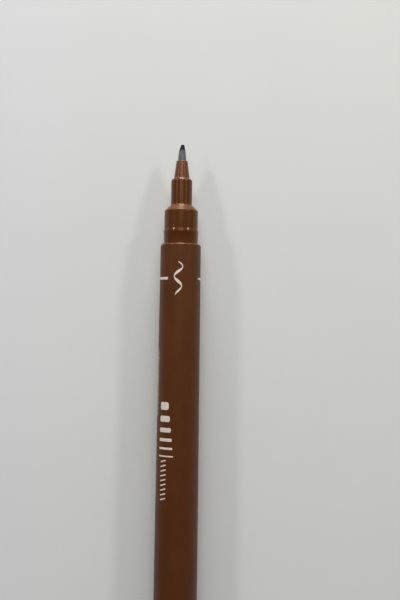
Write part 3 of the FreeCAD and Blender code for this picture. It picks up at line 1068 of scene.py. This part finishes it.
barrel_plastic = moulded_plastic(
    "barrel_plastic",
    BROWN,
    roughness=0.44,
    specular=0.3,
    peel=0.0015,
    scuff=0.06,
    stretch=SHOULDER_EDGE,
)
section_plastic = moulded_plastic(
    "section_plastic",
    NOSE_BROWN,
    roughness=0.16,
    specular=0.32,
    peel=0.0003,
    scuff=0.03,
    stretch=CHAMFER,
)
holder_plastic = moulded_plastic(
    "holder_plastic",
    HOLDER_BROWN,
    roughness=0.2,
    specular=0.42,
    peel=0.0005,
    scuff=0.03,
)
cap_plastic = moulded_plastic("cap_plastic", BROWN, roughness=0.44, specular=0.3, peel=0.0015, scuff=0.06)
nib_fibre = fibre(
    "nib_fibre",
    (0.128, 0.129, 0.133),
    ink=(0.006, 0.006, 0.007),
    stain_start=24.35,
    stain_end=24.8,
)
reservoir_fibre = fibre(
    "reservoir_fibre",
    (0.09, 0.05, 0.032),
    ink=(0.02, 0.012, 0.008),
    stain_start=-30.0,
    stain_end=10.0,
)
film_wrap = clear_film("film", (0.72, 0.72, 0.70))
liner_plastic = soft_liner("liner_plastic", (0.66, 0.64, 0.58))
clip_steel = brushed_steel("clip_steel", (0.55, 0.55, 0.54))
print_white = print_ink("print_white", (0.80, 0.70, 0.62), BROWN)


def finish_piece(piece, material, body=None, nodes=()):
    """Gives a piece its material and slot, the CAD nodes it stands for and the body it rides on."""
    piece.data.materials.append(material)
    if nodes:
        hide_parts(*nodes)
    if body:
        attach(piece, body)


finish_piece(make_barrel(), barrel_plastic, "pen", ["barrel"])
finish_piece(make_front_section(), section_plastic, "pen", ["front_section"])
finish_piece(make_nib_holder(), holder_plastic, "pen", ["nib_holder"])
finish_piece(make_tail_plug(), barrel_plastic, "pen", ["tail_plug"])
finish_piece(make_cap_shell(), cap_plastic, "cap", ["cap_shell"])
finish_piece(make_cap_crown(), cap_plastic, "cap", ["cap_crown"])
finish_piece(make_inner_cap(), liner_plastic, "cap", ["inner_cap"])
finish_piece(make_clip(), clip_steel, "clip", ["clip"])
for make_print in (make_ring_mark, make_brush_mark, make_bar_marks, make_tick_marks, make_dash_marks):
    finish_piece(make_print(), print_white, "pen")

nib = make_nib()
finish_piece(nib, nib_fibre, nodes=["nib_stem", "brush_tip"])
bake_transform(nib)

for node, material in (("ink_reservoir", reservoir_fibre), ("reservoir_film", film_wrap)):
    data = frame["nodes"][node].data
    data.materials.clear()
    data.materials.append(material)


# Floor, lights and camera
FLOOR_HALF_WIDTH = 1500.0
# How far to each side the floor's painted warm light reaches, in millimetres
WARM_LIGHT_REACH = 40
WORLD_COLOUR = (1.0, 1.0, 0.99, 1.0)
WORLD_STRENGTH = 0.125
CAMERA_SPOT = Vector((4.57, 25.121, 224.903)) * MM
CAMERA_TILT = math.radians(3.0)
CAMERA_ROLL = math.radians(-0.844)
CAMERA_FOCAL_LENGTH = 51.0
CAMERA_SENSOR_WIDTH = 36.0
CAMERA_NEAR = 10.0
CAMERA_FAR = 20000.0


def make_floor():
    """A plain pale surface, faintly mottled, with warmer light painted into its colour towards +X."""
    mesh = bmesh.new()
    bmesh.ops.create_grid(mesh, x_segments=4, y_segments=4, size=FLOOR_HALF_WIDTH * MM)
    floor = keep_mesh("floor", mesh)
    material, tree, shader = new_material("floor_paper")
    mottle = noise_value(tree, stretched(tree, (0.03, 0.03, 0.03)), detail=4.0)
    tooth = noise_value(tree, stretched(tree, (1.5, 1.5, 1.5)), detail=2.0)
    # Painted light: the second colour of each pair is the paper painted warmer and yellower. It stands in
    # for warmer light falling from the +X side.
    painted_warm_light = mapped(tree, own_axis(tree, "X"), -WARM_LIGHT_REACH * MM, WARM_LIGHT_REACH * MM, 0.0, 1.0)
    paper = mixed(tree, painted_warm_light, (0.742, 0.745, 0.742), (0.738, 0.745, 0.702))
    pale = mixed(tree, painted_warm_light, (0.772, 0.775, 0.772), (0.768, 0.775, 0.732))
    tree.links.new(mixed(tree, mottle, paper, pale), shader.inputs["Base Color"])
    shader.inputs["Roughness"].default_value = 0.6
    shader.inputs["Specular IOR Level"].default_value = 0.2
    bumped(tree, shader, tooth, 0.002)
    floor.data.materials.append(material)


def add_light(name, way, distance, size, power):
    """An area light that faces the barrel's front shoulder from this way, unseen by the camera.

    Its distance and size are in metres.
    """
    data = bpy.data.lights.new(name, "AREA")
    data.shape = "RECTANGLE"
    data.size, data.size_y = size
    data.energy = power
    light = bpy.data.objects.new(name, data)
    bpy.context.scene.collection.objects.link(light)
    toward = Vector(way).normalized()
    light.location = place(0, 0, 0) + toward * distance
    light.rotation_mode = "QUATERNION"
    light.rotation_quaternion = toward.to_track_quat("Z", "Y")
    light.visible_camera = False


make_floor()
for side, name in ((-1, "left"), (1, "right")):
    lamp_way = (0.665 * side, 0.52, 0.515)
    glow_way = (0.74 * side, 0.28, 0.60)
    add_light(name + "_lamp", lamp_way, distance=0.9, size=(0.085, 0.085), power=1.22)
    add_light(name + "_glow", glow_way, distance=0.9, size=(0.16, 0.08), power=0.3)
add_light("window", (0.0, 0.97, 0.245), distance=0.8, size=(0.4, 0.28), power=6.25)
add_light("low_window", (0.0, 0.99, 0.13), distance=0.8, size=(0.6, 0.14), power=2.6)
add_light("ceiling", (0.0, 0.40, 0.92), distance=0.7, size=(0.4, 0.3), power=1.15)
add_light("left_wall", (-0.93, 0.0, 0.36), distance=0.8, size=(1.0, 0.3), power=0.06)
add_light("right_wall", (0.93, 0.0, 0.36), distance=0.8, size=(1.0, 0.3), power=0.22)

world = bpy.data.worlds.new("studio")
world.use_nodes = True
background = world.node_tree.nodes["Background"]
background.inputs["Color"].default_value = WORLD_COLOUR
background.inputs["Strength"].default_value = WORLD_STRENGTH
bpy.context.scene.world = world
bpy.context.scene.view_settings.view_transform = "Standard"

sight = Vector((0, math.sin(CAMERA_TILT), -math.cos(CAMERA_TILT)))
upright = Vector((0, math.cos(CAMERA_TILT), math.sin(CAMERA_TILT)))
up = upright * math.cos(CAMERA_ROLL) + Vector((1, 0, 0)) * math.sin(CAMERA_ROLL)
right = sight.cross(up)
lens = bpy.data.cameras.new("camera")
lens.lens = CAMERA_FOCAL_LENGTH
lens.sensor_width = CAMERA_SENSOR_WIDTH
lens.clip_start = CAMERA_NEAR * MM
lens.clip_end = CAMERA_FAR * MM
camera = bpy.data.objects.new("camera", lens)
bpy.context.scene.collection.objects.link(camera)
camera.matrix_world = Matrix.Translation(CAMERA_SPOT) @ Matrix((right, up, -sight)).transposed().to_4x4()
bpy.context.scene.camera = camera
